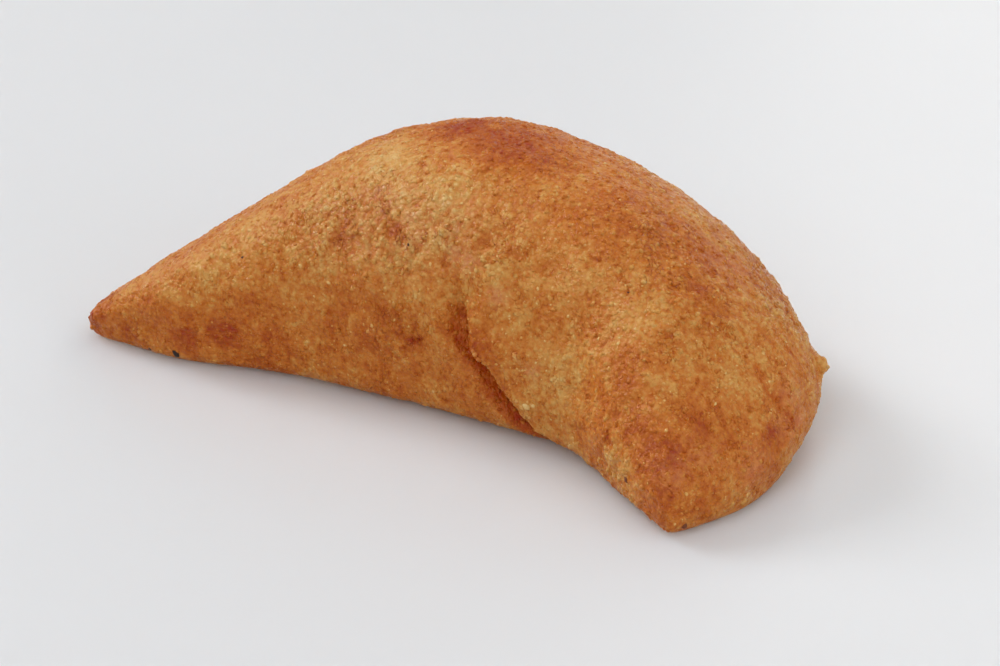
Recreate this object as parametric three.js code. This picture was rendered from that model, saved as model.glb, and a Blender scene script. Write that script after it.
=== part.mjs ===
// A fried half-moon empanada: one closed solid of crust, in millimetres, +Z up.
// The folded side faces -Y and the pressed, sealed side faces +Y. The right-hand third
// has buckled over the rest along one crease. It rests on a flat patch of its underside.
import * as THREE from "three";

const DEGREE = Math.PI / 180;

// overall size
const foldLength = 120; // along the folded edge, tip to tip
const reach = 55.8; // from the folded edge to the seal, at the widest
const crownHeight = 40; // highest point of the dome
const bendAngle = 34 * DEGREE; // how far the folded edge turns
const bendPlace = 0.722; // where it turns, as a share of the fold
const bendSpread = 0.38; // share of the fold over which it turns
const layTurn = 9.7 * DEGREE; // sets the longest side along X

// plan outline: how far in from the fold line each tip lies, and how round each end is
const leftTipInset = 2.9;
const rightTipInset = 6.8;
const leftNose = 1.5;
const rightNose = 4.4;
const widestPlace = 0.5;
const sealLeft = { power: 1.8, root: 0.98 };
const sealRight = { power: 2.2, root: 1.82 };
const foldLeft = { power: 6, root: 2 };
const foldRight = { power: 44, root: 4.2 };

// bulges and hollows of the folded edge: place, spread, and how far in (+) or out (-)
const foldSwells = [
  { place: 0.16, spread: 0.07, depth: -1.3 },
  { place: 0.38, spread: 0.1, depth: 1.5 },
  { place: 0.62, spread: 0.055, depth: -0.7 },
  { place: 0.77, spread: 0.05, depth: 1.4 },
];

// long profile of the dome
const crownPlace = 0.54;
const domeLeft = { power: 1.68, root: 0.93 };
const domeRight = { power: 2.25, root: 0.87 };

// cross-section: where the crown lies across it, how full each shoulder is
const crownAcross = 0.465;
const foldFullness = { left: 2.7, right: 2.0 };
const sealFullness = { left: 2.2, right: 1.92 };
const undersideFullness = { fold: 4.8, seal: 2.8 };

// heights of the folded edge, of the seal and of the two tips
const foldEdgeHeight = { left: 4.5, right: 7.2 };
const sealHeight = { left: 6.7, right: 8.2 };
const leftTipHeight = 3.1;
const rightTipHeight = 3.9;
const restingCut = 0.9; // how much of the belly is pressed flat
const restingBlend = 4;

// the crease: it climbs the folded side from the foot and leans towards the left
const creaseFoot = 0.687;
const creaseHead = 0.558;
const creaseLean = 18; // degrees round the section over which it leans
const creaseFootSlant = 0.0025; // share of the fold per degree, under the edge
const creaseTop = { from: 14, to: 37 }; // degrees up over which it fades out
const creaseBottom = { from: -60, to: -30 };
const creaseJog = { at: 11, over: 2.3, by: 0.0095 }; // a step sideways at the bridge
const grooveDepth = 3.2;
const grooveFloor = 1.5; // width of the groove's floor
const grooveSlope = 2.8; // width of its left-hand wall
const bridgeAt = 12.4; // degrees up at which dough bridges part of the groove
const bridgeSpread = 2.4;
const bridgeShare = 0.42;
const rimHeight = 0.9;
const rimOverhang = 1.3;
const rimTop = { from: 10, to: 26 }; // degrees up over which the rim fades

// the sealed edge: a thick lip, with a pressed seam above it and an undercut below it
const lipSwell = 1.1;
const lipHalfHeight = 2.6;
const seamDepth = 1.2;
const seamAbove = 5.2;
const seamHalfWidth = 2;
const undercutDepth = 1.0;
const undercutBelow = 4.2;

// a pressed streak that runs up from the lip at the right end: share of the fold,
// degrees round the section, and how deep it is pressed there
const streakStations = [
  [0.87, 112, 0.25],
  [0.92, 122, 0.5],
  [0.95, 140, 0.8],
  [0.967, 172, 0.5],
];
const streakHalfWidth = 1.8;

// small features: place along the fold, degrees round the section, height, spread
const dimplesAndBumps = [
  { place: 0.535, around: 12, height: -0.6, spread: 1.6 },
  { place: 0.269, around: 14, height: -0.5, spread: 2.6 },
  { place: 0.476, around: 2, height: -0.45, spread: 2.2 },
  { place: 0.6, around: 27, height: -0.9, spread: 2.2 },
  { place: 0.961, around: 160, height: 0.9, spread: 1.3 },
  { place: 0.846, around: 167, height: 0.7, spread: 1.1 },
  { place: 0.876, around: 186, height: -1.6, spread: 2.4 },
  { place: 0.6, around: 320, height: 0.4, spread: 3 },
];

// a blunt torn flap that stands out from the lip
const flake = { place: 0.864, around: 166, length: 1.9, halfWidth: 1.3, halfHeight: 1.8 };
const flakeEdge = 0.4;

// seeded unevenness of the dough
const swellSeed = 101;
const swellHeight = 0.24;
const lumpSeed = 97;
const lumpHeight = 0.13;

// grid of the solid
const ringCount = 80;
const pointsOverTop = 42;
const pointsUnderneath = 20;

function clamp01(value) {
  return Math.min(Math.max(value, 0), 1);
}

function mix(from, to, share) {
  return from + (to - from) * share;
}

function smoothStep(from, to, value) {
  const share = clamp01((value - from) / (to - from));
  return share * share * (3 - 2 * share);
}

function bell(value, centre, spread) {
  const far = (value - centre) / spread;
  return Math.exp(-far * far);
}

// an arch from 0 at both tips to 1 at the peak
function arch(along, peak, left, right) {
  const side = along < peak ? left : right;
  const away = along < peak ? (peak - along) / peak : (along - peak) / (1 - peak);
  return Math.pow(Math.max(1 - Math.pow(clamp01(away), side.power), 0), 1 / side.root);
}

// a quarter circle that rounds off a tip
function noseRound(distance, radius) {
  const inside = 1 - Math.min(distance / radius, 1);
  return radius * Math.sqrt(Math.max(1 - inside * inside, 0));
}

// a superellipse quadrant's two coordinates
function quadrant(value, fullness) {
  return Math.pow(Math.abs(value), 2 / fullness);
}

// repeatable random numbers from 0 to 1
function seededRandom(seed) {
  let state = seed;
  return () => {
    state = (state * 16807) % 2147483647;
    return state / 2147483647;
  };
}

// smooth unevenness: a sum of waves in seeded directions
function waveSet(seed, count, shortest, longest) {
  const random = seededRandom(seed);
  const waves = [];
  for (let n = 0; n < count; n += 1) {
    const turn = 2 * Math.PI * random();
    const rise = 2 * random() - 1;
    const flat = Math.sqrt(1 - rise * rise);
    const wavelength = mix(shortest, longest, random());
    const pitch = (2 * Math.PI) / wavelength;
    waves.push({
      x: Math.cos(turn) * flat * pitch,
      y: Math.sin(turn) * flat * pitch,
      z: rise * pitch,
      phase: 2 * Math.PI * random(),
      weight: Math.sqrt(2 / count),
    });
  }
  return waves;
}

function waveHeight(waves, point) {
  let sum = 0;
  for (const wave of waves) {
    const angle = wave.x * point.x + wave.y * point.y + wave.z * point.z + wave.phase;
    sum += wave.weight * Math.sin(angle);
  }
  return sum;
}

// the fold line in plan: it runs straight, turns gently, and runs straight again
const foldSteps = 1200;
const foldLine = [{ x: 0, y: 0, heading: layTurn }];
for (let n = 1; n <= foldSteps; n += 1) {
  const middle = (n - 0.5) / foldSteps;
  const turned = smoothStep(bendPlace - bendSpread / 2, bendPlace + bendSpread / 2, middle);
  const heading = layTurn - bendAngle * turned;
  const last = foldLine[n - 1];
  const step = foldLength / foldSteps;
  foldLine.push({
    x: last.x + Math.cos(heading) * step,
    y: last.y + Math.sin(heading) * step,
    heading,
  });
}

function foldFrame(along) {
  const place = clamp01(along) * foldSteps;
  const index = Math.min(Math.floor(place), foldSteps - 1);
  const share = place - index;
  const a = foldLine[index];
  const b = foldLine[index + 1];
  return {
    x: mix(a.x, b.x, share),
    y: mix(a.y, b.y, share),
    heading: mix(a.heading, b.heading, share),
  };
}

// the sizes of the cross-section at one place along the fold
function sectionAt(along) {
  const rightness = smoothStep(0.3, 0.7, along);
  const shoulder = smoothStep(0.35, 0.75, along);
  const inset = mix(leftTipInset, rightTipInset, rightness);
  const nose =
    along < 0.5
      ? noseRound(along * foldLength, leftNose)
      : noseRound((1 - along) * foldLength, rightNose);
  const seal =
    inset + nose + (reach - inset - nose) * arch(along, widestPlace, sealLeft, sealRight);
  let fold = (inset - nose) * (1 - arch(along, 0.5, foldLeft, foldRight));
  const swellFade = smoothStep(0, 0.06, along) * smoothStep(0, 0.03, 1 - along);
  for (const swell of foldSwells) {
    fold += swell.depth * bell(along, swell.place, swell.spread) * swellFade;
  }
  const tipHeight = mix(leftTipHeight, rightTipHeight, rightness);
  const noseHeight = 0.8 * nose;
  const crown =
    tipHeight +
    noseHeight +
    (crownHeight - tipHeight - noseHeight) * arch(along, crownPlace, domeLeft, domeRight);
  const endRound = { power: 6, root: 1.6 };
  const edgeShare = arch(along, 0.5, endRound, endRound);
  const foldEdge = mix(foldEdgeHeight.left, foldEdgeHeight.right, shoulder);
  const sealEdge = mix(sealHeight.left, sealHeight.right, shoulder);
  const bellyRound = { power: 8, root: 2 };
  const bellyShare = 1 - arch(along, 0.5, bellyRound, bellyRound);
  return {
    fold,
    width: seal - fold,
    crown,
    foldEdge: Math.min(mix(tipHeight, foldEdge, edgeShare), crown),
    sealEdge: Math.min(mix(tipHeight, sealEdge, edgeShare), crown),
    belly: Math.max(tipHeight - noseHeight, 0) * bellyShare,
    foldFull: mix(foldFullness.left, foldFullness.right, shoulder),
    sealFull: mix(sealFullness.left, sealFullness.right, shoulder),
  };
}

// a point of the smooth body: 0 degrees is the folded edge, 90 the crown, 180 the seal
// and 270 the middle of the underside
function bodyPoint(along, around) {
  const section = sectionAt(along);
  const cosine = Math.cos(around * DEGREE);
  const sine = Math.sin(around * DEGREE);
  const nearSide = cosine >= 0;
  const above = sine >= 0;
  const topFullness = nearSide ? section.foldFull : section.sealFull;
  const underFullness = nearSide ? undersideFullness.fold : undersideFullness.seal;
  const fullness = above ? topFullness : underFullness;
  const outward = quadrant(cosine, fullness);
  const upward = quadrant(sine, fullness);
  const nearWidth = crownAcross * section.width;
  const farWidth = section.width - nearWidth;
  let across = section.fold + nearWidth;
  across += nearSide ? -nearWidth * outward : farWidth * outward;
  const edge = nearSide ? section.foldEdge : section.sealEdge;
  let height = above
    ? edge + (section.crown - edge) * upward
    : edge - (edge - section.belly) * upward;
  height = Math.max(height - restingCut * (1 - smoothStep(0, restingBlend, height)), 0);
  const frame = foldFrame(along);
  return new THREE.Vector3(
    frame.x - Math.sin(frame.heading) * across,
    frame.y + Math.cos(frame.heading) * across,
    height
  );
}

// degrees measured up from the folded edge, negative underneath it
function fromFoldEdge(around) {
  return around > 180 ? around - 360 : around;
}

function creasePlace(around) {
  const up = fromFoldEdge(around);
  if (up < 0) {
    return creaseFoot - creaseFootSlant * up;
  }
  const past = (up - creaseJog.at) / creaseJog.over;
  const jog = -creaseJog.by * past * Math.exp(0.5 - 0.5 * past * past);
  return creaseHead + (creaseFoot - creaseHead) * Math.exp(-up / creaseLean) + jog;
}

// the grid lines lean with the crease, and stand straight again away from it
function leaned(along, around) {
  const up = fromFoldEdge(around);
  const upFade = 1 - smoothStep(60, 165, up);
  const downFade = 1 - smoothStep(20, 80, -up);
  const before = Math.pow(Math.min(along / creaseFoot, 1), 2);
  const after = Math.pow(clamp01((1 - along) / (1 - creaseFoot)), 1.5);
  const hold = along < creaseFoot ? before : after;
  return along + (creasePlace(around) - creaseFoot) * hold * upFade * downFade;
}

function outwardNormal(along, around) {
  const step = Math.min(0.004, along * 0.5, (1 - along) * 0.5);
  const turn = 1.5;
  const lengthwise = bodyPoint(along + step, around).sub(bodyPoint(along - step, around));
  const round = bodyPoint(along, around + turn).sub(bodyPoint(along, around - turn));
  return lengthwise.cross(round).normalize();
}

// the pressed streak as a line of points on the body
const streakLine = [];
for (let n = 0; n + 1 < streakStations.length; n += 1) {
  const [fromAlong, fromAround, fromDepth] = streakStations[n];
  const [toAlong, toAround, toDepth] = streakStations[n + 1];
  for (let k = 0; k < 12; k += 1) {
    const point = bodyPoint(mix(fromAlong, toAlong, k / 12), mix(fromAround, toAround, k / 12));
    streakLine.push({ point, depth: mix(fromDepth, toDepth, k / 12) });
  }
}

function streakDepth(point) {
  let depth = 0;
  let nearest = Infinity;
  for (const station of streakLine) {
    const away = station.point.distanceTo(point);
    if (away < nearest) {
      nearest = away;
      depth = station.depth;
    }
  }
  return depth * bell(nearest, 0, streakHalfWidth);
}

// the sealed edge, by the distance up (+) or down (-) the body from its widest line
function sealRelief(along, around, base) {
  if (around < 90 || around > 270) {
    return 0;
  }
  const away = base.distanceTo(bodyPoint(along, 180));
  const above = around < 180 ? away : -away;
  const reliefThere =
    lipSwell * bell(above, 0, lipHalfHeight) -
    seamDepth * bell(above, seamAbove, seamHalfWidth) -
    undercutDepth * bell(above, -undercutBelow, lipHalfHeight);
  return reliefThere * smoothStep(0.02, 0.16, along) * smoothStep(0.03, 0.26, 1 - along);
}

const swells = waveSet(swellSeed, 14, 17, 34);
const lumps = waveSet(lumpSeed, 22, 5.5, 9);
const features = dimplesAndBumps.map((feature) => ({
  ...feature,
  point: bodyPoint(feature.place, feature.around),
}));
const flakePoint = bodyPoint(flake.place, flake.around);
const flakeNormal = outwardNormal(flake.place, flake.around);
flakeNormal.z = 0.15;
flakeNormal.normalize();
const flakeAlong = new THREE.Vector3(-flakeNormal.y, flakeNormal.x, 0).normalize();

// 1 over the flap, with a short slope down to 0 at its ends
function blunt(away, half) {
  return 1 - smoothStep(half - flakeEdge, half + flakeEdge, Math.abs(away));
}

// the crust: the smooth body with its crease, seam, lip, flake and unevenness
function crustPoint(ringPlace, around) {
  const along = leaned(ringPlace, around);
  const point = bodyPoint(along, around);
  const normal = outwardNormal(along, around);
  const base = point.clone();
  const up = fromFoldEdge(around);
  const tipFade = smoothStep(0, 0.03, along) * smoothStep(0, 0.004, 1 - along);
  const floorFade = smoothStep(0.2, 3, base.z);

  let relief = swellHeight * waveHeight(swells, base);
  relief += lumpHeight * waveHeight(lumps, base);

  // crease: a hollow on the left, a raised rim that leans over it on the right
  const creaseStrength =
    smoothStep(creaseBottom.from, creaseBottom.to, up) *
    (1 - smoothStep(creaseTop.from, creaseTop.to, up));
  const bridge = 1 - bridgeShare * bell(up, bridgeAt, bridgeSpread);
  const beyond = (along - creasePlace(around)) * foldLength;
  const wall = smoothStep(-grooveFloor - grooveSlope, -grooveFloor, beyond);
  const hollow = beyond < 0 ? 0.75 * wall + 0.25 * Math.exp(beyond / 3) : bell(beyond, 0, 0.8);
  relief -= grooveDepth * hollow * creaseStrength * bridge;
  const rim = smoothStep(0, 1.8, beyond) * Math.exp(-Math.max(beyond, 0) / 12);
  const rimStrength = creaseStrength * (1 - 0.7 * smoothStep(rimTop.from, rimTop.to, up));
  relief += rimHeight * rim * rimStrength;
  const overhang = smoothStep(0, 0.8, beyond) * bell(beyond, 0, 3.4) * rimStrength;

  relief += sealRelief(along, around, base);
  relief -= streakDepth(base);
  for (const feature of features) {
    relief += feature.height * bell(feature.point.distanceTo(base), 0, feature.spread);
  }

  const offset = base.clone().sub(flakePoint);
  const flakeShare =
    blunt(offset.dot(flakeAlong), flake.halfWidth) *
    blunt(offset.z, flake.halfHeight) *
    bell(offset.dot(flakeNormal), 0, 3);

  point.addScaledVector(normal, relief * tipFade * floorFade);
  point.addScaledVector(flakeNormal, flake.length * flakeShare);
  const frame = foldFrame(along);
  point.x -= Math.cos(frame.heading) * rimOverhang * overhang * floorFade;
  point.y -= Math.sin(frame.heading) * rimOverhang * overhang * floorFade;
  point.z = Math.max(point.z, 0);
  return point;
}

// shares out places so that each step between them covers the same weighted length
function evenPlaces(count, samples, placeOf, stepLength) {
  const travelled = [0];
  for (let n = 1; n <= samples; n += 1) {
    const from = placeOf((n - 1) / samples);
    const to = placeOf(n / samples);
    travelled.push(travelled[n - 1] + stepLength(from, to));
  }
  const places = [];
  let index = 0;
  for (let n = 1; n <= count; n += 1) {
    const wanted = (travelled[samples] * n) / (count + 1);
    while (travelled[index + 1] < wanted) {
      index += 1;
    }
    const span = travelled[index + 1] - travelled[index];
    const share = (wanted - travelled[index]) / span;
    places.push(placeOf((index + share) / samples));
  }
  return places;
}

// rings crowd together at the crease and at the flake
function ringStep(from, to) {
  const middle = (from + to) / 2;
  let length = 0;
  for (let around = 0; around < 360; around += 30) {
    length += bodyPoint(from, around).distanceTo(bodyPoint(to, around)) / 12;
  }
  const atCrease = 1.7 * bell(middle, creaseFoot, 0.035);
  const atFlake = 2.4 * bell(middle, flake.place, 0.018);
  return length * (1 + atCrease + atFlake);
}

const ringPlaces = evenPlaces(
  ringCount,
  1600,
  (share) => 0.5 - 0.5 * Math.cos(Math.PI * share),
  ringStep
);

function pointsRound(along) {
  const topStep = (from, to) => {
    const middle = (from + to) / 2;
    const crowd = 1 + 0.9 * bell(middle, 174, 14) + 0.5 * bell(middle, 12, 22);
    return bodyPoint(along, from).distanceTo(bodyPoint(along, to)) * crowd;
  };
  const underStep = (from, to) => {
    const middle = (from + to) / 2;
    const crowd = 1 + 0.8 * bell(middle, 190, 16) + 0.6 * bell(middle, 355, 18);
    return bodyPoint(along, from).distanceTo(bodyPoint(along, to)) * crowd;
  };
  const top = evenPlaces(pointsOverTop - 1, 240, (share) => 180 * share, topStep);
  const under = evenPlaces(pointsUnderneath - 1, 180, (share) => 180 + 180 * share, underStep);
  return [0, ...top, 180, ...under];
}

const pointsPerRing = pointsOverTop + pointsUnderneath;
const positions = [];
const leftTip = bodyPoint(0, 0);
const rightTip = bodyPoint(1, 0);
positions.push(leftTip.x, leftTip.y, leftTip.z);
for (const place of ringPlaces) {
  for (const around of pointsRound(place)) {
    const point = crustPoint(place, around);
    positions.push(point.x, point.y, point.z);
  }
}
positions.push(rightTip.x, rightTip.y, rightTip.z);

const triangles = [];
const lastPoint = positions.length / 3 - 1;
for (let k = 0; k < pointsPerRing; k += 1) {
  const next = (k + 1) % pointsPerRing;
  triangles.push(0, 1 + k, 1 + next);
  for (let ring = 0; ring + 1 < ringCount; ring += 1) {
    const here = 1 + ring * pointsPerRing;
    const there = here + pointsPerRing;
    triangles.push(here + k, there + k, there + next);
    triangles.push(here + k, there + next, here + next);
  }
  const end = 1 + (ringCount - 1) * pointsPerRing;
  triangles.push(end + k, lastPoint, end + next);
}

const crustShape = new THREE.BufferGeometry();
crustShape.setAttribute("position", new THREE.Float32BufferAttribute(positions, 3));
crustShape.setIndex(triangles);

// origin under the middle of the box, on the surface it rests on
crustShape.computeBoundingBox();
const box = crustShape.boundingBox;
crustShape.translate(-(box.min.x + box.max.x) / 2, -(box.min.y + box.max.y) / 2, -box.min.z);
crustShape.computeVertexNormals();

const friedCrust = new THREE.MeshStandardMaterial({
  color: 0xb4703c,
  roughness: 0.62,
  metalness: 0,
});

const empanada = new THREE.Mesh(crustShape, friedCrust);
empanada.name = "empanada";

const part = new THREE.Group();
part.add(empanada);

export default part;
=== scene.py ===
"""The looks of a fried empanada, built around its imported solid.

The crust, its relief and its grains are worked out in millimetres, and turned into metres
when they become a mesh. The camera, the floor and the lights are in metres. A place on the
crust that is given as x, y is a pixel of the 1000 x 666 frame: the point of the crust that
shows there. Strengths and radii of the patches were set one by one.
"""

import math
from collections import namedtuple

import bmesh
import bpy
import numpy as np
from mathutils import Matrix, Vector, noise
from mathutils.bvhtree import BVHTree


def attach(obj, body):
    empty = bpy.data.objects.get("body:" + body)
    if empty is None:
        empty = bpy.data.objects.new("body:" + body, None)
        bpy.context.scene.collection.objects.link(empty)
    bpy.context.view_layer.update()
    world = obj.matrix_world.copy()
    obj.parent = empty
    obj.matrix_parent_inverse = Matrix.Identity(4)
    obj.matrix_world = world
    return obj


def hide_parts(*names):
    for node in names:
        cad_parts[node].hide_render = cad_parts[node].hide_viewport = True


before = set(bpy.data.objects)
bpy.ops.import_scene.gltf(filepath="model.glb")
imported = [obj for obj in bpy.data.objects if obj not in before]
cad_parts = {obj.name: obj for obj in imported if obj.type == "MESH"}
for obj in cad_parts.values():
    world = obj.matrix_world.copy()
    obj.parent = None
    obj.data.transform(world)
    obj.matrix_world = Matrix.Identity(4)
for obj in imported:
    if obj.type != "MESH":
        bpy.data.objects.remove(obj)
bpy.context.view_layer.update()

MM = 0.001
NODE = "empanada"

# camera: where it looks and from where, with the sensor and the lens in millimetres
FRAME_WIDTH = 1000
FRAME_HEIGHT = 666
LOOKS_AT = Vector((6.77, -7.41, 10.0)) * MM
VIEW_TURN = math.radians(34.26)
VIEW_HEIGHT = math.radians(28.7)
VIEW_DISTANCE = 505.7 * MM
SENSOR_WIDTH = 36.0
FOCAL_LENGTH = 110.2

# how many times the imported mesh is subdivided
SUBDIVISIONS = 2

Patch = namedtuple("Patch", "x y radius_mm strength")

# where the crust is fried browner, and where shade is painted on it as brown
BROWN_AND_SHADE_PATCHES = [
    # on the top: browner, and painted shade along the top edge
    Patch(508, 143, 8.2, 1.25),
    Patch(468, 124, 6.0, 1.15),
    Patch(548, 160, 6.0, 0.6),
    # along the left-hand tip
    Patch(98, 320, 5.0, 0.75),
    Patch(92, 320, 2.0, 1.2),
    Patch(125, 330, 4.0, 0.6),
    Patch(152, 308, 4.0, 0.6),
    Patch(186, 338, 4.5, 0.9),
    # on the left-hand half: browner patches, and painted shade along its bottom at 250, 352 and
    # 382, 364
    Patch(221, 334, 3.2, 1.5),
    Patch(232, 317, 2.2, 0.8),
    Patch(241, 300, 2.4, 0.8),
    Patch(250, 325, 4.5, 0.5),
    Patch(250, 352, 5.0, 0.4),
    Patch(335, 322, 5.0, 0.4),
    Patch(374, 346, 4.0, 0.45),
    Patch(382, 364, 7.0, 0.55),
    Patch(392, 330, 4.5, 0.5),
    Patch(412, 342, 2.6, 0.6),
    Patch(394, 231, 1.6, 0.9),
    # beside the crease
    Patch(480, 348, 2.4, 0.9),
    Patch(498, 352, 4.0, 0.4),
    Patch(505, 382, 2.4, 0.5),
    Patch(519, 420, 1.2, 0.8),
    # on the right-hand half
    Patch(565, 250, 6.0, 0.3),
    Patch(605, 220, 9.0, 0.4),
    Patch(690, 285, 7.0, 0.4),
    Patch(640, 424, 4.5, 0.7),
    Patch(657, 451, 3.0, 1.2),
    Patch(666, 448, 5.5, 1.05),
    Patch(700, 425, 5.0, 0.6),
    Patch(706, 430, 1.8, 0.8),
    Patch(693, 410, 1.2, 0.7),
    Patch(650, 500, 5.0, 0.6),
    Patch(700, 488, 5.5, 0.5),
    Patch(714, 493, 1.3, 0.8),
    # along the right-hand edge
    Patch(779, 399, 1.0, 0.3),
    Patch(773, 433, 1.1, 1.0),
    Patch(764, 438, 0.9, 1.1),
    Patch(764, 464, 4.5, 0.5),
]
# where the crust has stayed paler, and where light is painted on it as pale
PALE_AND_LIT_PATCHES = [
    # above the crease: paler, and painted light on the shoulder at 450, 187 and 430, 238 and on
    # the crease's flank at 457, 300
    Patch(450, 187, 7.0, 2.4),
    Patch(478, 212, 5.5, 1.0),
    Patch(452, 222, 4.0, 1.2),
    Patch(430, 238, 8.0, 1.0),
    Patch(402, 208, 6.0, 1.7),
    Patch(362, 208, 6.0, 0.9),
    Patch(405, 262, 6.0, 0.9),
    Patch(455, 262, 3.5, 0.5),
    Patch(450, 285, 4.0, 0.7),
    Patch(457, 300, 2.0, 1.0),
    Patch(410, 304, 4.0, 0.7),
    Patch(460, 325, 1.5, 0.7),
    Patch(487, 376, 1.4, 1.0),
    # along the back of the left-hand half: paler, and a painted highlight along this ridge
    Patch(392, 160, 8.5, 1.7),
    Patch(345, 190, 7.0, 0.8),
    Patch(318, 226, 5.0, 0.9),
    Patch(300, 200, 6.0, 0.7),
    Patch(262, 228, 6.0, 1.0),
    Patch(205, 262, 6.0, 1.0),
    Patch(168, 282, 5.0, 1.2),
    # on the right-hand half: paler, and painted light low on its front at 560, 435 and by its
    # right-hand edge at 774, 308
    Patch(562, 277, 7.0, 1.2),
    Patch(528, 332, 7.0, 0.4),
    Patch(636, 210, 5.0, 0.6),
    Patch(640, 322, 6.0, 1.2),
    Patch(672, 362, 4.0, 0.9),
    Patch(660, 380, 4.0, 0.8),
    Patch(590, 395, 8.0, 1.3),
    Patch(560, 435, 7.0, 0.6),
    Patch(620, 470, 5.0, 1.0),
    Patch(745, 365, 5.0, 0.6),
    Patch(774, 308, 5.0, 1.2),
    # on the torn flap
    Patch(824, 366, 2.5, 0.1),
]
# where the skin has lifted in small blisters
BLISTER_PATCHES = [
    Patch(355, 215, 8.0, 1.0),
    Patch(400, 240, 7.0, 1.0),
    Patch(450, 230, 6.0, 0.8),
    Patch(320, 245, 7.0, 0.7),
    Patch(395, 325, 5.0, 0.7),
    Patch(500, 240, 6.0, 0.4),
    Patch(670, 285, 8.0, 0.6),
    Patch(700, 330, 7.0, 0.6),
    Patch(660, 240, 8.0, 0.4),
]
# where a film of oil shows on it: the crust is glossier there, and a painted sheen lightens its
# colour
FILM_AND_SHEEN_PATCHES = [
    Patch(350, 218, 8.0, 0.4),
    Patch(405, 232, 7.0, 0.4),
    Patch(450, 226, 5.0, 0.5),
    Patch(390, 202, 6.0, 0.5),
    Patch(390, 142, 7.0, 0.4),
    Patch(376, 192, 1.7, 1.0),
    Patch(386, 206, 1.4, 1.0),
    Patch(339, 213, 1.8, 0.6),
    Patch(327, 236, 2.2, 0.6),
    Patch(411, 214, 1.8, 1.0),
    Patch(455, 254, 2.2, 0.9),
    Patch(469, 261, 1.8, 0.9),
    Patch(316, 208, 2.5, 0.5),
    Patch(370, 250, 2.0, 0.6),
    Patch(497, 296, 1.6, 0.8),
    Patch(530, 372, 1.5, 0.8),
    Patch(793, 392, 2.4, 1.0),
    Patch(801, 416, 2.0, 1.0),
    Patch(787, 428, 1.9, 0.9),
    Patch(756, 470, 3.2, 0.7),
    Patch(672, 470, 3.0, 0.5),
    Patch(700, 455, 3.0, 0.4),
    Patch(725, 260, 4.0, 0.5),
]
# the crease, down from its upper end, and furrows down the right-hand end: shade is painted along
# both, and the furrows are also sunk
CREASE_TRACK = [
    (461, 321),
    (461, 330),
    (464, 343),
    (471, 356),
    (484, 369),
    (492, 382),
    (501, 396),
    (511, 410),
    (522, 422),
    (538, 435),
]
FURROW_TRACKS = [
    [(758, 368), (766, 388), (779, 402), (791, 415), (800, 428)],
    [(786, 344), (797, 360), (807, 378)],
]
CREASE_WIDTH_MM = 1.7
FURROW_WIDTHS_MM = [0.8, 0.4]
FLAP = Patch(823, 364, 2.2, 1.0)
# stained pits: strength is how deep each is, in millimetres
PITS = [
    Patch(414, 341, 0.9, 0.3),
    Patch(399, 338, 0.7, 0.2),
    Patch(444, 264, 1.0, 0.35),
    Patch(284, 197, 0.9, 0.3),
    Patch(345, 224, 1.2, 0.4),
    Patch(338, 240, 1.2, 0.4),
    Patch(392, 229, 1.4, 0.4),
    Patch(384, 214, 1.2, 0.2),
    Patch(416, 204, 1.0, 0.3),
    Patch(484, 240, 1.2, 0.3),
    Patch(668, 334, 1.0, 0.3),
    Patch(708, 320, 1.1, 0.3),
    Patch(716, 330, 1.0, 0.3),
    Patch(662, 362, 1.0, 0.25),
]
# burnt crumbs: strength is how black each is
CHARRED_CRUMBS = [
    Patch(176, 355, 0.85, 1.0),
    Patch(149, 348, 0.35, 0.6),
    Patch(243, 257, 0.3, 0.7),
    Patch(409, 244, 0.22, 0.7),
    Patch(626, 291, 0.2, 0.7),
    Patch(626, 481, 0.45, 0.3),
    Patch(685, 527, 0.6, 0.3),
]
# crumbs that stand out: strength is how pale each is
PLACED_CRUMBS = [
    # along the rim of the crease
    Patch(474, 355, 0.68, 0.88),
    Patch(472, 351, 0.42, 0.76),
    Patch(478, 359, 0.5, 0.3),
    Patch(467, 300, 0.3, 0.83),
    Patch(468, 318, 0.26, 0.8),
    Patch(470, 333, 0.3, 0.76),
    Patch(516, 401, 0.34, 0.76),
    Patch(522, 408, 0.51, 0.83),
    Patch(527, 407, 0.59, 0.9),
    Patch(532, 406, 0.38, 0.86),
    Patch(529, 417, 0.38, 0.76),
    # here and there
    Patch(515, 355, 0.51, 0.86),
    Patch(523, 371, 0.34, 0.86),
    Patch(505, 245, 0.3, 0.86),
    Patch(430, 263, 0.34, 0.9),
    Patch(328, 284, 0.38, 0.9),
    Patch(366, 332, 0.42, 0.86),
    Patch(473, 186, 0.3, 0.9),
    Patch(665, 429, 0.38, 0.9),
    Patch(687, 495, 0.34, 0.9),
    Patch(748, 495, 0.3, 0.9),
    # on the torn flap
    Patch(820, 357, 0.5, 0.2),
    Patch(823, 358, 0.6, 0.1),
    Patch(825, 360, 0.6, 0.3),
    Patch(826, 365, 0.45, 0.1),
    Patch(826, 369, 0.45, 0.2),
    Patch(824, 373, 0.45, 0.1),
    Patch(821, 377, 0.45, 0.2),
]
GRIT_COUNT = 5000
CRUMB_COUNT = 9500
STRAY_PIT_COUNT = 170


def link(thing):
    bpy.context.scene.collection.objects.link(thing)
    return thing


# ---------------------------------------------------------------- camera


def direction_at(turn, height):
    """The unit vector that points to the right of the front by turn, and up by height."""
    return Vector(
        (
            math.sin(turn) * math.cos(height),
            -math.cos(turn) * math.cos(height),
            math.sin(height),
        )
    )


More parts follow.
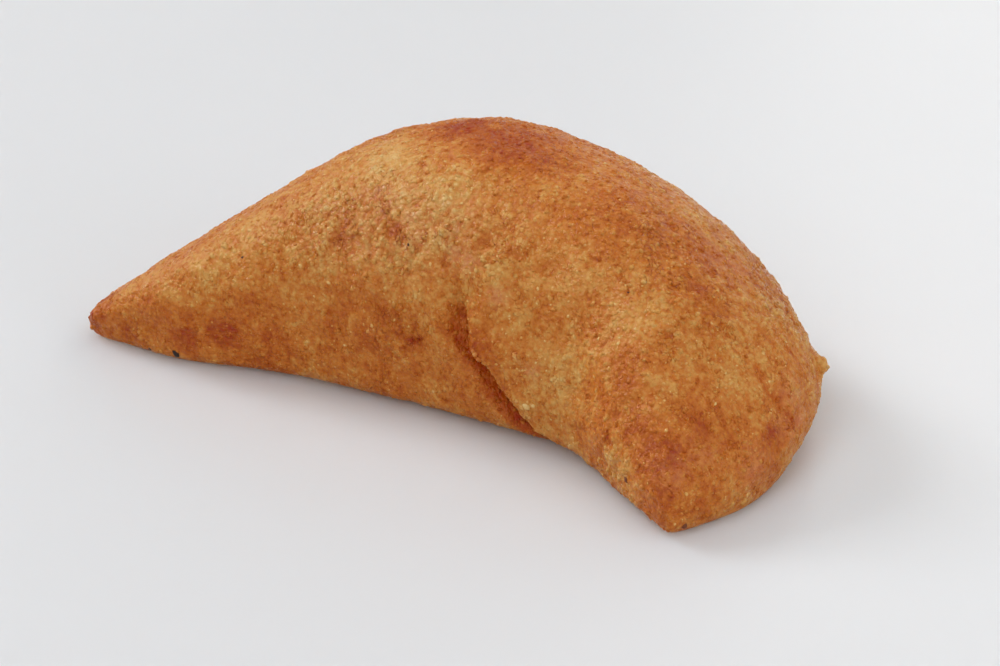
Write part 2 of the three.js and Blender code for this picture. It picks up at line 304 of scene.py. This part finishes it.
def make_camera():
    data = bpy.data.cameras.new("camera")
    data.sensor_fit = "HORIZONTAL"
    data.sensor_width = SENSOR_WIDTH
    data.lens = FOCAL_LENGTH
    data.clip_start = 0.01
    data.clip_end = 20.0
    camera = link(bpy.data.objects.new("camera", data))
    back = direction_at(VIEW_TURN, VIEW_HEIGHT)
    camera.location = LOOKS_AT + back * VIEW_DISTANCE
    camera.rotation_euler = back.to_track_quat("Z", "Y").to_euler()
    bpy.context.scene.camera = camera
    bpy.context.view_layer.update()
    return camera


camera = make_camera()


def ray_through(x, y):
    """The ray from the camera through a pixel of the frame."""
    focal_pixels = FOCAL_LENGTH / SENSOR_WIDTH * FRAME_WIDTH
    offset = Vector((x - FRAME_WIDTH / 2, FRAME_HEIGHT / 2 - y, -focal_pixels))
    turn = camera.matrix_world.to_3x3()
    return camera.location.copy(), (turn @ offset).normalized()


# ---------------------------------------------------------------- crust mesh


WELD_DISTANCE = 0.001 * MM


def smooth_crust():
    """A finer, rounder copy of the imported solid: the same form without its facets."""
    bm = bmesh.new()
    bm.from_mesh(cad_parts[NODE].data)
    bmesh.ops.remove_doubles(bm, verts=bm.verts, dist=WELD_DISTANCE)
    bmesh.ops.join_triangles(
        bm, faces=bm.faces, angle_face_threshold=math.pi, angle_shape_threshold=math.pi
    )
    for layer in list(bm.loops.layers.uv):
        bm.loops.layers.uv.remove(layer)
    rough = bpy.data.meshes.new("crust_rough")
    bm.to_mesh(rough)
    bm.free()
    thing = link(bpy.data.objects.new("crust_rough", rough))
    thing.modifiers.new("round", "SUBSURF").levels = SUBDIVISIONS
    depsgraph = bpy.context.evaluated_depsgraph_get()
    mesh = bpy.data.meshes.new_from_object(thing.evaluated_get(depsgraph))
    bpy.data.objects.remove(thing)
    bpy.data.meshes.remove(rough)
    mesh.name = "crust"
    mesh.materials.clear()
    return mesh


def vertex_array(mesh, attribute="co"):
    count = len(mesh.vertices)
    values = np.empty(count * 3, np.float32)
    mesh.vertices.foreach_get(attribute, values)
    return values.reshape(count, 3).astype(np.float64)


mesh = smooth_crust()
mesh.polygons.foreach_set("use_smooth", [True] * len(mesh.polygons))
points_mm = vertex_array(mesh) / MM
normals = vertex_array(mesh, "normal")
tree = BVHTree.FromPolygons(
    [Vector(p * MM) for p in points_mm], [tuple(f.vertices) for f in mesh.polygons]
)
print("crust mesh", len(mesh.vertices), "points", sum(len(f.vertices) - 2 for f in mesh.polygons))


def place_of(x, y):
    """The point of the crust, before its relief, that shows at a pixel of the frame."""
    start, direction = ray_through(x, y)
    hit = tree.ray_cast(start, direction)[0]
    if hit is None:
        raise ValueError(f"nothing of the crust shows at {x}, {y}")
    return np.array(hit) / MM


def bell(distance, spread):
    return np.exp(-((distance / spread) ** 2))


def smooth_step(low, high, value):
    share = np.clip((value - low) / (high - low), 0, 1)
    return share * share * (3 - 2 * share)


def patches_on(patches):
    """How much of any of these patches each point of the crust has, from 0 to about 1."""
    field = np.zeros(len(points_mm))
    for patch in patches:
        away = np.linalg.norm(points_mm - place_of(patch.x, patch.y), axis=1)
        field = np.maximum(field, patch.strength * bell(away, patch.radius_mm))
    return field


def grain(size_mm, seed, squeeze=(1, 1, 1)):
    """Smooth noise from about -1 to 1 at each point, with lumps of this size."""
    shift = Vector((seed * 7.31, seed * 3.17, seed * 5.73))
    scale = np.array(squeeze) / size_mm
    return np.array([noise.noise(Vector(p) + shift) for p in points_mm * scale])


def along_track(track):
    """The distance in millimetres from each point to a line drawn on the crust."""
    stops = [place_of(x, y) for x, y in track]
    nearest = np.full(len(points_mm), np.inf)
    for a, b in zip(stops, stops[1:]):
        step = b - a
        share = np.clip((points_mm - a) @ step / (step @ step), 0, 1)
        away = np.linalg.norm(points_mm - a - share[:, None] * step, axis=1)
        nearest = np.minimum(nearest, away)
    return nearest


# ---------------------------------------------------------------- relief


def domes(size_mm, seed):
    """Rounded lumps packed side by side: 0 in the gaps between them, 1 on their tops."""
    steepness = 1.5
    shift = Vector((seed * 4.73, seed * 8.11, seed * 2.39))
    heights = []
    for p in points_mm / size_mm:
        nearest, second = noise.voronoi(Vector(p) + shift)[0][:2]
        heights.append(min((second - nearest) * steepness, 1.0))
    return np.array(heights)


def pitted(patches):
    """The depth of small hollows at these patches, whose strength is how deep each is."""
    depth = np.zeros(len(points_mm))
    for patch in patches:
        offset = points_mm - place_of(patch.x, patch.y)
        away = np.linalg.norm(offset, axis=1) * pit_edge
        depth = np.maximum(depth, patch.strength * bell(away, patch.radius_mm))
    return depth


def stray_pits(count, seed):
    """The depth of small hollows strewn over the whole crust."""
    random = np.random.default_rng(seed)
    depth = np.zeros(len(points_mm))
    for centre in points_mm[random.integers(0, len(points_mm), count)]:
        away = np.linalg.norm(points_mm - centre, axis=1) * pit_edge
        deepest = random.uniform(*STRAY_PIT_DEPTHS)
        depth = np.maximum(depth, deepest * bell(away, random.uniform(*STRAY_PIT_RADII)))
    return depth


# relief: how wide and how high or deep each kind is, in millimetres
LARGE_LUMP = 2.1
SMALL_LUMP = 1.25
LUMP_HEIGHT = 0.17
LARGE_WAVE = 4.8
SMALL_WAVE = 2.6
WAVE_HEIGHT = 0.15
WRINKLE_SPACING = 3.4
WRINKLE_DEPTH = 0.28
STRAY_PIT_DEPTHS = (0.08, 0.25)
STRAY_PIT_RADII = (0.6, 1.2)
FURROW_DEPTH = 0.16
TEAR_SIZE = 1.1
TEAR_HEIGHT = 0.5
FLAP_THICKENING = 0.25
RELIEF_FROM = 1.5  # above the floor: below this it fades, so that the part rests flat
# what counts as a deep pit, for how brown the crust is, and a deep wrinkle and the whole span of
# the relief, for the shade painted in its low places
DEEP_PIT = 0.3
DEEP_WRINKLE = 0.4
RELIEF_SPAN = 0.7

# unevenness of three sizes, for all that follows
ragged = grain(size_mm=1.8, seed=11)
patchy = grain(size_mm=3.2, seed=12)
broad = grain(size_mm=13.0, seed=13)
wavy_edge = 1 + 0.3 * ragged
pit_edge = 1 + 0.35 * ragged

pale_and_lit = patches_on(PALE_AND_LIT_PATCHES)
film_and_sheen = patches_on(FILM_AND_SHEEN_PATCHES)
flap = patches_on([FLAP])
# where shade is painted along the crease
crease = bell(along_track(CREASE_TRACK) * wavy_edge, CREASE_WIDTH_MM)
furrows = np.zeros(len(points_mm))
for track, width in zip(FURROW_TRACKS, FURROW_WIDTHS_MM):
    furrows = np.maximum(furrows, bell(along_track(track) * wavy_edge, width))

# blisters and brown patches also come by themselves, so the sides that don't show have them too
blistered = patches_on(BLISTER_PATCHES)
stray_blisters = smooth_step(0.25, 0.6, grain(size_mm=19.0, seed=21))
blistered = np.maximum(blistered, 0.8 * stray_blisters)
brown_and_shade = patches_on(BROWN_AND_SHADE_PATCHES)
stray_browning = smooth_step(0.3, 0.65, grain(size_mm=24.0, seed=22))
blotches = np.clip(0.95 + 0.25 * patchy + 0.25 * ragged, 0.4, 1.4)
brown_and_shade = np.maximum(brown_and_shade, 0.55 * stray_browning) * blotches

large_lumps = LUMP_HEIGHT * (domes(LARGE_LUMP, seed=1) - 0.5)
small_lumps = LUMP_HEIGHT * (domes(SMALL_LUMP, seed=2) - 0.5)
lumps = large_lumps + small_lumps
waves = WAVE_HEIGHT * grain(LARGE_WAVE, seed=3) + WAVE_HEIGHT * grain(SMALL_WAVE, seed=5)
upright = grain(WRINKLE_SPACING, seed=4, squeeze=(1.0, 1.0, 0.55))
wrinkle_lines = smooth_step(0.62, 0.95, 1 - np.abs(upright))
wrinkles = WRINKLE_DEPTH * wrinkle_lines * (0.35 + 0.9 * blistered)
stains = pitted(PITS)
pits = stains + stray_pits(STRAY_PIT_COUNT, seed=31)
tears = flap * (FLAP_THICKENING + TEAR_HEIGHT * grain(TEAR_SIZE, seed=14))
raised = lumps * (0.8 + 1.2 * blistered) + waves
relief = raised - wrinkles - pits - FURROW_DEPTH * furrows + tears
above_floor = smooth_step(0.0, RELIEF_FROM, points_mm[:, 2])

# from here on the points are those of the finished crust
points_mm = points_mm + normals * (relief * above_floor)[:, None]
points_mm[:, 2] = np.maximum(points_mm[:, 2], 0)
mesh.vertices.foreach_set("co", (points_mm * MM).astype(np.float32).ravel())
mesh.update()

# what the materials read at each point of the crust, from 0 to 1
FIELDS = {
    "browning_and_shade": brown_and_shade + 0.2 * pits / DEEP_PIT + 0.25 * stains / DEEP_PIT,
    "paleness_and_light": pale_and_lit * (0.4 + 0.15 * patchy),
    "reddening": 0.5 + 0.5 * broad + 0.35 * patchy,
    "blistering": blistered,
    # painted shade: in the crease, and fainter in the furrows
    "crease_and_furrow_shade": np.maximum(crease, 0.35 * furrows),
    "film_and_sheen": film_and_sheen * np.clip(0.75 + 0.7 * ragged, 0, 1.3),
    # painted shade: darker where the relief is low and in the wrinkles, paler where it is high
    "relief_shade": np.clip(0.5 - relief / RELIEF_SPAN, 0, 1) + 0.7 * wrinkles / DEEP_WRINKLE,
}


def keep_fields(piece_mesh, picked):
    """Stores the crust's fields on a mesh, from the crust point picked for each of its points."""
    for name, values in FIELDS.items():
        attribute = piece_mesh.attributes.new(name, "FLOAT", "POINT")
        attribute.data.foreach_set("value", np.clip(values[picked], 0, 1).astype(np.float32))


def add_piece(name, piece_mesh):
    piece = link(bpy.data.objects.new(name, piece_mesh))
    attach(piece, "root")
    return piece


keep_fields(mesh, np.arange(len(points_mm)))
crust = add_piece("crust", mesh)
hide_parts(NODE)


# ---------------------------------------------------------------- grains on the crust

GOLDEN = (1 + math.sqrt(5)) / 2
LUMP_POINTS = np.array(
    [
        (-1, GOLDEN, 0),
        (1, GOLDEN, 0),
        (-1, -GOLDEN, 0),
        (1, -GOLDEN, 0),
        (0, -1, GOLDEN),
        (0, 1, GOLDEN),
        (0, -1, -GOLDEN),
        (0, 1, -GOLDEN),
        (GOLDEN, 0, -1),
        (GOLDEN, 0, 1),
        (-GOLDEN, 0, -1),
        (-GOLDEN, 0, 1),
    ]
) / math.hypot(1, GOLDEN)


def lump_faces():
    """The faces of the icosahedron on LUMP_POINTS: each three points that are one edge apart."""
    rounding = 1e-6
    edge = 2 / math.hypot(1, GOLDEN) + rounding
    count = len(LUMP_POINTS)
    faces = []
    for a in range(count):
        for b in range(a + 1, count):
            for c in range(b + 1, count):
                corners = LUMP_POINTS[[a, b, c]]
                sides = np.linalg.norm(corners - np.roll(corners, 1, axis=0), axis=1)
                if sides.max() < edge:
                    turned = np.cross(corners[1] - corners[0], corners[2] - corners[0])
                    outward = turned @ corners.sum(axis=0) > 0
                    faces.append((a, b, c) if outward else (a, c, b))
    return np.array(faces)


LUMP_FACES = lump_faces()


# grains lie on the crust above the first of these heights, and reach down to the second
GRAINS_FROM = 1.2
GRAINS_DOWN_TO = 0.05
# a grain's corners stand out by a share of its radius, and it is longer one way than the other
UNEVENNESS = (0.75, 1.25)
STRETCH = (1.0, 1.5)
# the radius of the smallest grain, and how much larger the largest one is
GRIT_RADIUS = 0.13
GRIT_SPREAD = 0.17
CRUMB_RADIUS = 0.2
CRUMB_SPREAD = 0.3


def crust_samples(count, random):
    """Places drawn evenly by area on the crust, and the index of a crust point beside each."""
    mesh.calc_loop_triangles()
    corners = np.empty(len(mesh.loop_triangles) * 3, np.int32)
    mesh.loop_triangles.foreach_get("vertices", corners)
    corners = corners.reshape(-1, 3)
    a, b, c = points_mm[corners[:, 0]], points_mm[corners[:, 1]], points_mm[corners[:, 2]]
    area = np.linalg.norm(np.cross(b - a, c - a), axis=1) / 2
    area = area * (a[:, 2] > GRAINS_FROM)
    chosen = random.choice(len(corners), count, p=area / area.sum())
    share = np.sqrt(random.random((count, 1)))
    slide = random.random((count, 1))
    place = (1 - share) * a[chosen] + share * (1 - slide) * b[chosen] + share * slide * c[chosen]
    return corners[chosen, 0], place


def sideways_to(upward):
    """Two unit directions across each of these ones."""
    steep = np.abs(upward[:, 2:3]) < 0.8
    helper = np.where(steep, [[0.0, 0.0, 1.0]], [[1.0, 0.0, 0.0]])
    first = np.cross(upward, helper)
    first /= np.linalg.norm(first, axis=1, keepdims=True)
    return first, np.cross(upward, first)


def make_grains(name, picked, place, radius, flatness, sunk, random, tones=None):
    """One mesh of uneven grains, flattened by a factor and sunk by a share of their height.

    The tone of each grain, from 0 to 1, is drawn at random where none is given.
    """
    count = len(picked)
    upward = crust_normals[picked]
    first, second = sideways_to(upward)
    turn = random.uniform(0, 2 * math.pi, (count, 1))
    along = np.cos(turn) * first + np.sin(turn) * second
    across = np.cross(upward, along)
    uneven = random.uniform(*UNEVENNESS, (count, len(LUMP_POINTS), 1))
    shape = LUMP_POINTS[None] * uneven * radius[:, None, None]
    stretch = random.uniform(*STRETCH, (count, 1))
    local = (
        shape[:, :, :1] * along[:, None] * stretch[:, :, None]
        + shape[:, :, 1:2] * across[:, None]
        + shape[:, :, 2:] * upward[:, None] * flatness
    )
    centre = place - upward * (radius * flatness * sunk)[:, None]
    corners = (centre[:, None] + local).reshape(-1, 3)
    corners[:, 2] = np.maximum(corners[:, 2], GRAINS_DOWN_TO)
    faces = (LUMP_FACES[None] + np.arange(count)[:, None, None] * len(LUMP_POINTS)).reshape(-1, 3)
    data = bpy.data.meshes.new(name)
    data.from_pydata((corners * MM).tolist(), [], faces.tolist())
    data.polygons.foreach_set("use_smooth", [True] * len(data.polygons))
    keep_fields(data, np.repeat(picked, len(LUMP_POINTS)))
    tone = data.attributes.new("grain_tone", "FLOAT", "POINT")
    tones = random.random(count) if tones is None else tones
    tone.data.foreach_set("value", np.repeat(tones, len(LUMP_POINTS)).astype(np.float32))
    add_piece(name, data)
    return data


crust_normals = vertex_array(mesh, "normal")


def make_grits():
    """Pale grains of coarse meal that glint on the crust."""
    random = np.random.default_rng(7)
    picked, place = crust_samples(GRIT_COUNT, random)
    radius = GRIT_RADIUS + GRIT_SPREAD * random.random(GRIT_COUNT) ** 2
    return make_grains("grits", picked, place, radius, flatness=0.8, sunk=0.35, random=random)


def make_crumbs():
    """Low lumps of the crust itself."""
    random = np.random.default_rng(8)
    picked, place = crust_samples(CRUMB_COUNT, random)
    radius = CRUMB_RADIUS + CRUMB_SPREAD * random.random(CRUMB_COUNT) ** 1.5
    return make_grains("crumbs", picked, place, radius, flatness=0.65, sunk=0.35, random=random)


def nearest_point(patch):
    """The index of the crust point nearest to where the patch's pixel says."""
    return np.argmin(np.linalg.norm(points_mm - place_of(patch.x, patch.y), axis=1))


def make_placed(name, patches, seed):
    """A few crumbs, each where a pixel of the frame says, with its strength as its tone."""
    random = np.random.default_rng(seed)
    picked = np.array([nearest_point(patch) for patch in patches])
    radius = np.array([patch.radius_mm for patch in patches])
    tones = np.array([patch.strength for patch in patches])
    place = points_mm[picked]
    return make_grains(
        name, picked, place, radius, flatness=0.75, sunk=0.3, random=random, tones=tones
    )


grits = make_grits()
crumbs = make_crumbs()
specks = make_placed("specks", CHARRED_CRUMBS, 9)
large_crumbs = make_placed("large_crumbs", PLACED_CRUMBS, 10)


# ---------------------------------------------------------------- materials


def colour(red, green, blue):
    """An sRGB colour from 0 to 255 as the shader's linear one."""
    channels = []
    for value in (red, green, blue):
        share = value / 255
        linear = share / 12.92 if share <= 0.04045 else ((share + 0.055) / 1.055) ** 2.4
        channels.append(linear)
    return (*channels, 1.0)


class Shader:
    """A material's node tree, with short calls for the nodes used here."""

    def __init__(self, name):
        self.material = bpy.data.materials.new(name)
        self.material.use_nodes = True
        self.nodes = self.material.node_tree.nodes
        self.links = self.material.node_tree.links
        self.surface = self.nodes["Principled BSDF"]
        self.object_place = self.add("TexCoord").outputs["Object"]

    def add(self, kind, inputs=None, **settings):
        node = self.nodes.new("ShaderNode" + kind)
        for key, value in settings.items():
            setattr(node, key, value)
        for key, value in (inputs or {}).items():
            self.put(node.inputs[key], value)
        return node

    def put(self, socket, value):
        if isinstance(value, bpy.types.NodeSocket):
            self.links.new(value, socket)
        else:
            socket.default_value = value

    def attribute(self, name):
        return self.add("Attribute", attribute_name=name).outputs["Fac"]

    def noise(self, size_mm, detail=2.0, roughness=0.5, squeeze=(1, 1, 1)):
        inputs = {0: self.object_place, 1: squeeze}
        place = self.add("VectorMath", inputs, operation="MULTIPLY").outputs[0]
        inputs = {
            "Vector": place,
            "Scale": 1 / (size_mm * MM),
            "Detail": detail,
            "Roughness": roughness,
        }
        return self.add("TexNoise", inputs).outputs["Fac"]

    def cells(self, size_mm):
        inputs = {"Vector": self.object_place, "Scale": 1 / (size_mm * MM)}
        return self.add("TexVoronoi", inputs).outputs["Distance"]

    def math(self, operation, a, b=0.0):
        return self.add("Math", {0: a, 1: b}, operation=operation).outputs[0]

    def span(self, value, low, high, to_low=0.0, to_high=1.0):
        inputs = {"Value": value, 1: low, 2: high, 3: to_low, 4: to_high}
        return self.add("MapRange", inputs).outputs[0]

    def between(self, share, ends):
        """The value between these two ends, by a share from 0 to 1."""
        return self.span(share, 0.0, 1.0, *ends)

    def centred(self, value):
        return self.math("SUBTRACT", value, 0.5)

    def mix(self, share, a, b):
        node = self.add("Mix", data_type="RGBA")
        self.put(node.inputs["Factor"], share)
        self.put(node.inputs[6], a)
        self.put(node.inputs[7], b)
        return node.outputs[2]

    def ramp(self, value, stops):
        """A colour by this value, from stops at 0, 1 and places between."""
        node = self.add("ValToRGB", {"Fac": value})
        elements = node.color_ramp.elements
        elements[0].color = stops[0][1]
        elements[1].color = stops[-1][1]
        for place, tint in stops[1:-1]:
            elements.new(place).color = tint
        return node.outputs["Color"]

    def bump(self, height, distance_mm, normal=None):
        distance = self.math("MULTIPLY", distance_mm, MM)
        inputs = {"Strength": 1.0, "Distance": distance, "Height": height}
        if normal is not None:
            inputs["Normal"] = normal
        return self.add("Bump", inputs).outputs[0]


# the crust's colour by how brown it is fried, from 0 to 1
FRIED = [
    (0.00, colour(234, 194, 122)),
    (0.25, colour(222, 161, 80)),
    (0.50, colour(208, 122, 39)),
    (0.70, colour(191, 96, 12)),
    (0.85, colour(176, 79, 3)),
    (1.00, colour(168, 54, 0)),
]
USUAL_BROWNNESS = 0.41

# how much each thing adds to the brownness, and a pair of them on plain and on blistered crust
MOTTLING = 0.32
FINE_MOTTLING = 0.7
REDDENING = 0.22
RELIEF_SHADE = 0.22
PALENESS_AND_LIGHT = -0.32
BROWNING_AND_SHADE = 0.42
CREASE_SHADE = 0.26
CRACKING = 0.3
MEAL_CELLS = (0.12, 0.4)

# a grain of meal is a cell of this size, whose value is 0 in its middle and usually this beside it
MEAL_CELL_MM = 0.9
USUAL_CELL = 0.55

# bumps in millimetres, or a pair of them on plain and on blistered crust: a crack is 1 in its
# middle and a cell is 0, so that below 0 they sink the crack and raise the grain
MEAL_BUMP = (-0.26, -0.42)
CRACK_BUMP = -0.12
PORE_BUMP = (0.3, 0.42)

GLOSS = 0.3
# painted sheen: a pale pink mixed into the crust's colour where the oil film is, by this share
PAINTED_SHEEN = colour(226, 150, 118)
PAINTED_SHEEN_SHARE = 0.35
# painted shade in the crease: a deep red mixed into its colour, by this share
CREASE_SHADE_RED = colour(192, 58, 0)
CREASE_SHADE_SHARE = 0.3
ROUGHNESS = (0.22, 0.42)
SHINE = 0.1
DARK_BROWN = colour(138, 66, 20)
CHARRED = colour(38, 22, 12)


def cracks(s):
    """Short upright cracks, most of them where the crust is blistered: 1 in the middle of each."""
    half_width = 0.04
    lines = s.noise(size_mm=1.6, detail=2.0, roughness=0.6, squeeze=(1.0, 1.0, 0.45))
    away = s.math("ABSOLUTE", s.centred(lines))
    sharp = s.span(away, 0.0, half_width, 1.0, 0.0)
    here = s.span(s.noise(size_mm=4.5), 0.45, 0.6)
    share = s.between(s.attribute("blistering"), (0.5, 1.0))
    return s.math("MULTIPLY", s.math("MULTIPLY", sharp, here), share)


def brownness(s):
    """How brown the crust is: mottled all over, and as the fields say in each place, painted shade
    and light included.
    """
    meal = s.math("SUBTRACT", s.cells(MEAL_CELL_MM), USUAL_CELL)
    parts = [
        (s.centred(s.noise(size_mm=2.4, detail=3.0, roughness=0.6)), MOTTLING),
        (s.centred(s.noise(size_mm=0.95, detail=2.0, roughness=0.6)), FINE_MOTTLING),
        (s.centred(s.attribute("reddening")), REDDENING),
        (s.centred(s.attribute("relief_shade")), RELIEF_SHADE),
        (s.attribute("paleness_and_light"), PALENESS_AND_LIGHT),
        (s.attribute("browning_and_shade"), BROWNING_AND_SHADE),
        (s.attribute("crease_and_furrow_shade"), CREASE_SHADE),
        (cracks(s), CRACKING),
        (meal, s.between(s.attribute("blistering"), MEAL_CELLS)),
    ]
    total = USUAL_BROWNNESS
    for value, weight in parts:
        total = s.add("Math", {0: value, 1: weight, 2: total}, operation="MULTIPLY_ADD").outputs[0]
    return total


def crust_bump(s):
    """Relief that is finer than the mesh: meal grains, cracks and pores."""
    blistering = s.attribute("blistering")
    meal = s.bump(s.cells(MEAL_CELL_MM), s.between(blistering, MEAL_BUMP))
    cracked = s.bump(cracks(s), CRACK_BUMP, meal)
    pores = s.noise(size_mm=0.55, detail=3.0, roughness=0.65)
    return s.bump(pores, s.between(blistering, PORE_BUMP), cracked)


def crust_material():
    s = Shader("fried_crust")
    film_and_sheen = s.attribute("film_and_sheen")
    # a painted sheen mixed into the crust's colour where the oil film is
    with_painted_sheen = s.mix(s.math("MULTIPLY", film_and_sheen, PAINTED_SHEEN_SHARE), s.ramp(brownness(s), FRIED), PAINTED_SHEEN)
    # painted shade in the crease and the furrows
    crease_shaded = s.math("MULTIPLY", s.attribute("crease_and_furrow_shade"), CREASE_SHADE_SHARE)
    s.put(s.surface.inputs["Base Color"], s.mix(crease_shaded, with_painted_sheen, CREASE_SHADE_RED))
    s.put(s.surface.inputs["Normal"], crust_bump(s))
    s.put(s.surface.inputs["Specular IOR Level"], GLOSS)
    roughness = s.span(s.noise(size_mm=1.7), 0.35, 0.65, *ROUGHNESS)
    shine = s.math("MULTIPLY", s.math("MAXIMUM", film_and_sheen, s.attribute("blistering")), SHINE)
    s.put(s.surface.inputs["Roughness"], s.math("SUBTRACT", roughness, shine))
    return s.material


def grit_material():
    """Grains of meal: a few of them, of the highest tones, are much paler than the crust."""
    s = Shader("meal_grit")
    tone = s.attribute("grain_tone")
    paler = s.between(s.math("POWER", tone, 4.0), (0.08, 0.45))
    tint = s.ramp(s.math("SUBTRACT", brownness(s), paler), FRIED)
    s.put(s.surface.inputs["Base Color"], tint)
    s.put(s.surface.inputs["Specular IOR Level"], 0.5)
    s.put(s.surface.inputs["Roughness"], s.between(tone, (0.45, 0.22)))
    return s.material


def crumb_material():
    """Lumps of the crust: the lower their tone, the browner they are."""
    s = Shader("crust_crumb")
    tone = s.attribute("grain_tone")
    tint = s.ramp(s.math("ADD", brownness(s), s.between(tone, (0.1, -0.16))), FRIED)
    s.put(s.surface.inputs["Base Color"], tint)
    s.put(s.surface.inputs["Normal"], crust_bump(s))
    s.put(s.surface.inputs["Specular IOR Level"], GLOSS)
    s.put(s.surface.inputs["Roughness"], s.between(tone, (0.5, 0.3)))
    return s.material


def speck_material():
    """Burnt crumbs: the higher their tone, the blacker they are."""
    s = Shader("burnt_crumb")
    s.put(s.surface.inputs["Base Color"], s.mix(s.attribute("grain_tone"), DARK_BROWN, CHARRED))
    s.put(s.surface.inputs["Roughness"], 0.6)
    return s.material


mesh.materials.append(crust_material())
grit = grit_material()
grits.materials.append(grit)
large_crumbs.materials.append(grit)
crumbs.materials.append(crumb_material())
specks.materials.append(speck_material())


# ---------------------------------------------------------------- floor and light


FLOOR_COLOUR = colour(229, 230, 232)
FLOOR_SIDE = 8.0
FLOOR_SOFTNESS_MM = 14.0


def floor_material():
    """A pale floor that lets a little light through itself, which softens the shadows on it."""
    s = Shader("floor")
    s.surface.subsurface_method = "BURLEY"
    settings = {
        "Base Color": FLOOR_COLOUR,
        "Roughness": 0.35,
        "Specular IOR Level": 0.5,
        "Subsurface Weight": 1.0,
        "Subsurface Radius": (1.0, 0.75, 0.6),
        "Subsurface Scale": FLOOR_SOFTNESS_MM * MM,
    }
    for name, value in settings.items():
        s.put(s.surface.inputs[name], value)
    return s.material


def make_floor():
    data = bpy.data.meshes.new("floor")
    half = FLOOR_SIDE / 2
    corners = [(-half, -half, 0), (half, -half, 0), (half, half, 0), (-half, half, 0)]
    data.from_pydata(corners, [], [(0, 1, 2, 3)])
    data.materials.append(floor_material())
    floor = link(bpy.data.objects.new("floor", data))


# soft panels all round: degrees to the right of the front, degrees up, watts, metres and tint
Panel = namedtuple("Panel", "name turn height power size tint")
NEUTRAL = (1.0, 1.0, 1.0)
WARM = (1.0, 0.985, 0.955)
PANELS = [
    Panel("left", -92, 34, 11.7, 0.5, NEUTRAL),
    Panel("front", 0, 44, 7.3, 1.0, NEUTRAL),
    Panel("right", 90, 24, 5.0, 1.0, NEUTRAL),
    Panel("back", -172, 24, 4.8, 1.0, WARM),
    Panel("back_right", 135, 42, 3.8, 1.0, WARM),
    Panel("top", 0, 85, 2.2, 1.0, NEUTRAL),
]
PANEL_DISTANCE = 1.5
WORLD_TINT = (0.97, 0.98, 1.0, 1.0)
WORLD_LIGHT = 0.19


def soft_light(panel):
    """A square light panel, aimed at the object from its turn and height."""
    data = bpy.data.lights.new(panel.name, "AREA")
    data.shape = "SQUARE"
    data.size = panel.size
    data.energy = panel.power
    data.color = panel.tint
    light = link(bpy.data.objects.new(panel.name, data))
    towards = direction_at(math.radians(panel.turn), math.radians(panel.height))
    light.location = LOOKS_AT + towards * PANEL_DISTANCE
    light.rotation_euler = towards.to_track_quat("Z", "Y").to_euler()


def make_light():
    world = bpy.data.worlds.new("studio")
    bpy.context.scene.world = world
    world.use_nodes = True
    background = world.node_tree.nodes["Background"]
    background.inputs["Color"].default_value = WORLD_TINT
    background.inputs["Strength"].default_value = WORLD_LIGHT
    for panel in PANELS:
        soft_light(panel)


make_floor()
make_light()
bpy.context.scene.view_settings.view_transform = "Standard"
